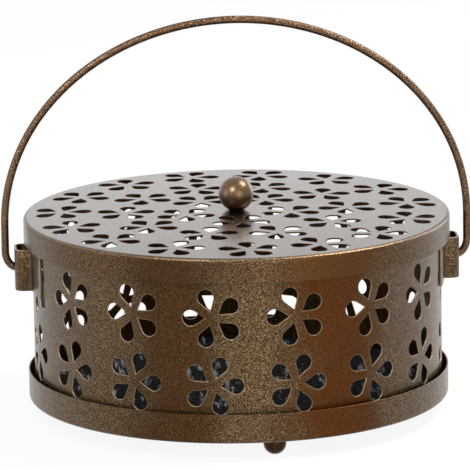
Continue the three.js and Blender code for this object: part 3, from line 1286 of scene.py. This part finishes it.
@dataclass(kw_only=True)
class Ball(Piece):
    """A turned ball with a flat where it stands, and a neck or nothing at its other end."""

    radius: float
    flat_radius: float
    neck_radius: float
    steps: int = 28
    round_steps: int = 64

    def mesh(self) -> BMesh:
        """Turns the ball.

        Returns:
            The mesh.
        """
        centre = math.sqrt(self.radius**2 - self.flat_radius**2)
        start = -math.degrees(math.acos(self.flat_radius / self.radius))
        end = math.degrees(math.acos(self.neck_radius / self.radius))
        profile = [(0.0, 0.0), *arc((0.0, centre), self.radius, start, end, self.steps)]
        height = self.high.z - self.low.z
        if self.neck_radius > 0:
            profile += [(self.neck_radius, height), (0.0, height)]
        else:
            profile[-1] = (0.0, profile[-1][1])
        mesh = lathe(profile, self.round_steps)
        middle = (self.low + self.high) / 2
        bmesh.ops.translate(mesh, verts=mesh.verts, vec=(middle.x, middle.y, self.low.z))
        return mesh


@dataclass(kw_only=True)
class SlottedScrew(Piece):
    """A pan-headed screw with a slot across its head."""

    slot: Slot = Slot.ZINC
    head_up: bool
    shank_radius: float = 1.25 * MM
    head_radius: float = 2.4 * MM
    head_height: float = 1.2 * MM
    slot_width: float = 0.7 * MM
    slot_depth: float = 0.6 * MM
    crown_steps: int = 8
    round_steps: int = 48

    def place(self) -> Matrix:
        """Finds the screw's place.

        Returns:
            The turn and move from a screw that stands on its head's underside.
        """
        low, high = self.low, self.high
        middle = (low + high) / 2
        seat = high.z - self.head_height if self.head_up else low.z + self.head_height
        place = Matrix.Translation((middle.x, middle.y, seat))
        if not self.head_up:
            place = place @ Matrix.Rotation(math.pi, 4, "X")
        return place

    def mesh(self) -> BMesh:
        """Turns the screw.

        Returns:
            The mesh.
        """
        length = self.high.z - self.low.z - self.head_height
        side = self.head_height / 2
        crown = arc((self.head_radius - side, side), side, 0, 90, self.crown_steps)
        profile = [
            (0.0, -length),
            (self.shank_radius, -length),
            (self.shank_radius, 0.0),
            (self.head_radius, 0.0),
            *crown,
            (0.0, self.head_height),
        ]
        mesh = lathe(profile, self.round_steps)
        bmesh.ops.transform(mesh, matrix=self.place(), verts=mesh.verts)
        return mesh

    def finish(self, piece: Object) -> None:
        """Cuts the slot out of the head.

        Args:
            piece: The turned screw.
        """
        mesh = bmesh.new()
        size = (3 * self.head_radius, self.slot_width, 2 * self.slot_depth)
        add_block(mesh, size, (0.0, 0.0, self.head_height), self.place())
        data = as_data(mesh, "slot_cutter")
        cutter = add_object("slot_cutter", data)
        cut = piece.modifiers.new("slot", "BOOLEAN")
        cut.operation = "DIFFERENCE"
        cut.object = cutter
        graph = bpy.context.evaluated_depsgraph_get()
        slotted = bpy.data.meshes.new_from_object(piece.evaluated_get(graph))
        piece.modifiers.clear()
        old = piece.data
        piece.data = slotted
        bpy.data.meshes.remove(old)
        bpy.data.objects.remove(cutter)
        bpy.data.meshes.remove(data)


@dataclass(kw_only=True)
class Washer(Piece):
    """The plain ring under the head of the knob's screw."""

    node: str = "knob_washer"
    name: str = "washer_ring"
    body: Body = Body.LID
    slot: Slot = Slot.ZINC
    hole_radius: float = 1.55 * MM
    round_steps: int = 64

    def mesh(self) -> BMesh:
        """Turns the washer.

        Returns:
            The mesh.
        """
        hole, low, high = self.hole_radius, self.low, self.high
        profile = [(hole, low.z), (high.x, low.z), (high.x, high.z), (hole, high.z)]
        return lathe(profile, self.round_steps)


@dataclass(kw_only=True)
class CoilMat(Piece):
    """The loose glass-fibre mat, woven from flat strands."""

    node: str = "coil_mat"
    name: str = "woven_mat"
    body: Body = Body.MAT
    slot: Slot = Slot.GLASS_FIBRE
    sharp: float = 80.0
    strand: float = 2.4 * MM
    samples: int = 4
    relief: float = 0.28 * MM
    crossing: float = 0.55
    rib: float = 0.3

    def height(self, x: float, y: float) -> float:
        """Gives the weave's height at a place.

        Args:
            x: The place along X.
            y: The place along Y.

        Returns:
            The height as a share of the relief.
        """
        across, along = x / self.strand, y / self.strand
        over = math.sin(math.pi * across) * math.sin(math.pi * along)
        ribs = abs(math.sin(math.pi * across)) + abs(math.sin(math.pi * along))
        return self.crossing * over + self.rib * ribs

    def mesh(self) -> BMesh:
        """Makes the woven top, and closes it to a flat underside.

        Returns:
            The mesh.
        """
        low, high, radius = self.low, self.high, self.high.x
        count = math.ceil(2 * radius / self.strand * self.samples)
        mesh = bmesh.new()
        bmesh.ops.create_grid(mesh, x_segments=count, y_segments=count, size=radius)
        step = 2 * radius / count
        outside = [vert for vert in mesh.verts if vert.co.length > radius - step / 2]
        bmesh.ops.delete(mesh, geom=outside, context="VERTS")
        for vert in mesh.verts:
            if vert.is_boundary:
                vert.co = vert.co.normalized() * radius
                vert.co.z = high.z - self.relief * 2
            else:
                vert.co.z = high.z - self.relief * (1 - self.height(vert.co.x, vert.co.y))
        edges = [edge for edge in mesh.edges if edge.is_boundary]
        lower = bmesh.ops.extrude_edge_only(mesh, edges=edges)["geom"]
        for vert in lower:
            if isinstance(vert, bmesh.types.BMVert):
                vert.co.z = low.z
        bmesh.ops.contextual_create(
            mesh, geom=[item for item in lower if isinstance(item, bmesh.types.BMEdge)]
        )
        return mesh

    def finish(self, piece: Object) -> None:
        """Leaves the mat as it is.

        Args:
            piece: The mat; not used.
        """


@dataclass(frozen=True)
class Lamp:
    """A square soft box that faces the object."""

    name: str
    direction: Triple
    distance: float
    size: float
    power: float
    colour: Colour = (1.0, 1.0, 1.0)

    def build(self, aim: Vector) -> None:
        """Adds the lamp.

        Args:
            aim: What it faces.
        """
        data = bpy.data.lights.new(self.name, "AREA")
        data.shape = "SQUARE"
        data.size = self.size
        data.energy = self.power
        data.color = self.colour
        lamp = add_object(self.name, data)
        way = Vector(self.direction).normalized()
        lamp.location = aim + way * self.distance
        lamp.rotation_euler = way.to_track_quat("Z", "Y").to_euler()


@dataclass
class Studio:
    """A white sweep, soft lamps and the camera."""

    azimuth: float = 265.8
    elevation: float = 12.48
    roll: float = -0.825
    distance: float = 1.77
    aim: Triple = (-0.6 * MM, 0.0, 62.78 * MM)
    lens: float = 384.9
    sensor: float = 36.0
    clip: Pair = (0.05, 50.0)
    world_light: float = 0.45
    floor_size: float = 12.0
    floor_grey: float = 0.95
    floor_white: float = 0.9
    lamps: tuple[Lamp, ...] = (
        Lamp("key", (-0.43, -0.645, 0.63), 1.2, 0.4, 7.0),
        Lamp("right", (0.565, 0.076, 0.82), 1.2, 0.45, 12.0, (1.0, 0.96, 0.9)),
        Lamp("front_fill", (0.3, -0.94, 0.16), 1.3, 0.7, 4.0, (1.0, 0.95, 0.86)),
        Lamp("left_fill", (-0.95, -0.2, 0.2), 1.3, 0.6, 2.0, (0.93, 0.96, 1.0)),
        Lamp("right_fill", (0.74, 0.64, 0.14), 1.3, 0.7, 3.0, (0.97, 0.98, 1.0)),
    )

    def camera(self) -> None:
        """Adds the camera at the photograph's place."""
        data = bpy.data.cameras.new("camera")
        data.lens = self.lens
        data.sensor_width = self.sensor
        data.clip_start, data.clip_end = self.clip
        azimuth, elevation = math.radians(self.azimuth), math.radians(self.elevation)
        flat = math.cos(elevation)
        back = Vector((flat * math.cos(azimuth), flat * math.sin(azimuth), math.sin(elevation)))
        turn = Matrix.Rotation(math.radians(self.roll), 3, back)
        right = turn @ UP.cross(back).normalized()
        up = back.cross(right)
        axes = Matrix((right, up, back)).transposed().to_4x4()
        camera = add_object("camera", data)
        camera.matrix_world = Matrix.Translation(Vector(self.aim) + back * self.distance) @ axes
        bpy.context.scene.camera = camera

    @staticmethod
    def seen(shader: Shader) -> Value:
        """Tells the rays that should find the white background from the rest.

        Args:
            shader: The tree that asks.

        Returns:
            1 for those rays and 0 for the rest.
        """
        rays = [
            shader.node("ShaderNodeLightPath", out=name)
            for name in ("Is Camera Ray", "Is Glossy Ray", "Is Transmission Ray")
        ]
        total = rays[0] + rays[1] + rays[2]
        return shader.node("ShaderNodeMath", {"operation": "MINIMUM"}, {0: total, 1: 1.0})

    def world(self) -> None:
        """Makes the world: white to look at, softer as a light."""
        world = bpy.data.worlds.new("white_room")
        bpy.context.scene.world = world
        world.use_nodes = True
        shader = Shader(world.node_tree)
        strength = self.seen(shader) * (1 - self.world_light) + self.world_light
        light = shader.node("ShaderNodeBackground", None, {"Color": WHITE, "Strength": strength})
        shader.node("ShaderNodeOutputWorld", None, {"Surface": light})

    def floor(self) -> None:
        """Adds the floor, which keeps the object's soft shadow."""
        mesh = bmesh.new()
        bmesh.ops.create_grid(mesh, x_segments=1, y_segments=1, size=self.floor_size / 2)
        data = as_data(mesh, "floor")
        made, shader = new_material("white_floor")
        grey = (self.floor_grey, self.floor_grey, self.floor_grey, 1.0)
        matt = shader.node("ShaderNodeBsdfDiffuse", None, {"Color": grey})
        white = shader.node("ShaderNodeEmission", None, {"Color": WHITE, "Strength": 1.0})
        share = self.seen(shader) * self.floor_white
        mixed = shader.node("ShaderNodeMixShader", None, {0: share, 1: matt, 2: white})
        shader.node("ShaderNodeOutputMaterial", None, {"Surface": mixed})
        data.materials.append(made)
        floor = add_object("floor", data)

    def build(self) -> None:
        """Adds the camera, the world, the floor and the lamps."""
        self.camera()
        self.world()
        self.floor()
        for lamp in self.lamps:
            lamp.build(Vector(self.aim))
        bpy.context.scene.view_settings.view_transform = "Standard"


def build_base(bronze: Material, zinc: Material) -> None:
    """Builds the tray, the wall, the lugs, the feet and their screws.

    Args:
        bronze: The hammered paint.
        zinc: The screws' plating.
    """
    wall = PiercedWall()
    BaseTray().build(bronze)
    wall.build(bronze)
    for node, side in (("lug_right", 1), ("lug_left", -1)):
        Lug(node=node, name=f"{node}_strip", side=side, wall_radius=wall.radius).build(bronze)
    foot_paint = FOOT_BRONZE.material()
    for i, foot in enumerate(FOOT_NAMES, 1):
        ball = Ball(
            node=foot,
            name=f"ball_foot_{i}",
            slot=Slot.FOOT,
            radius=3.95 * MM,
            flat_radius=1.5 * MM,
            neck_radius=3.1 * MM,
        )
        ball.build(foot_paint)
        screw = f"foot_screw_{i}"
        SlottedScrew(node=screw, name=f"{screw}_turned", head_up=True).build(zinc)
    WireBail(wall_radius=wall.radius).build(WIRE_BRONZE.material())


def build_lid(zinc: Material) -> None:
    """Builds the lid, its knob, and the screw and washer under it.

    Args:
        zinc: The plating of the screw and washer.
    """
    PiercedLid().build(LID_BRONZE.material())
    knob = Ball(
        node="lid_knob",
        name="ball_knob",
        body=Body.LID,
        slot=Slot.KNOB,
        radius=6.15 * MM,
        flat_radius=2.4 * MM,
        neck_radius=0.0,
        round_steps=96,
    )
    knob.build(KNOB_BRONZE.material())
    screw = "knob_screw"
    SlottedScrew(node=screw, name=f"{screw}_turned", body=Body.LID, head_up=False).build(zinc)
    Washer().build(zinc)


def main() -> None:
    """Builds the studio and the object."""
    logging.basicConfig(level=logging.INFO, format="%(message)s")
    Studio().build()
    bronze = BRONZE.material()
    zinc = ZincPlate().material()
    build_base(bronze, zinc)
    build_lid(zinc)
    CoilMat().build(GlassFibre().material())


if __name__ == "__main__":
    main()
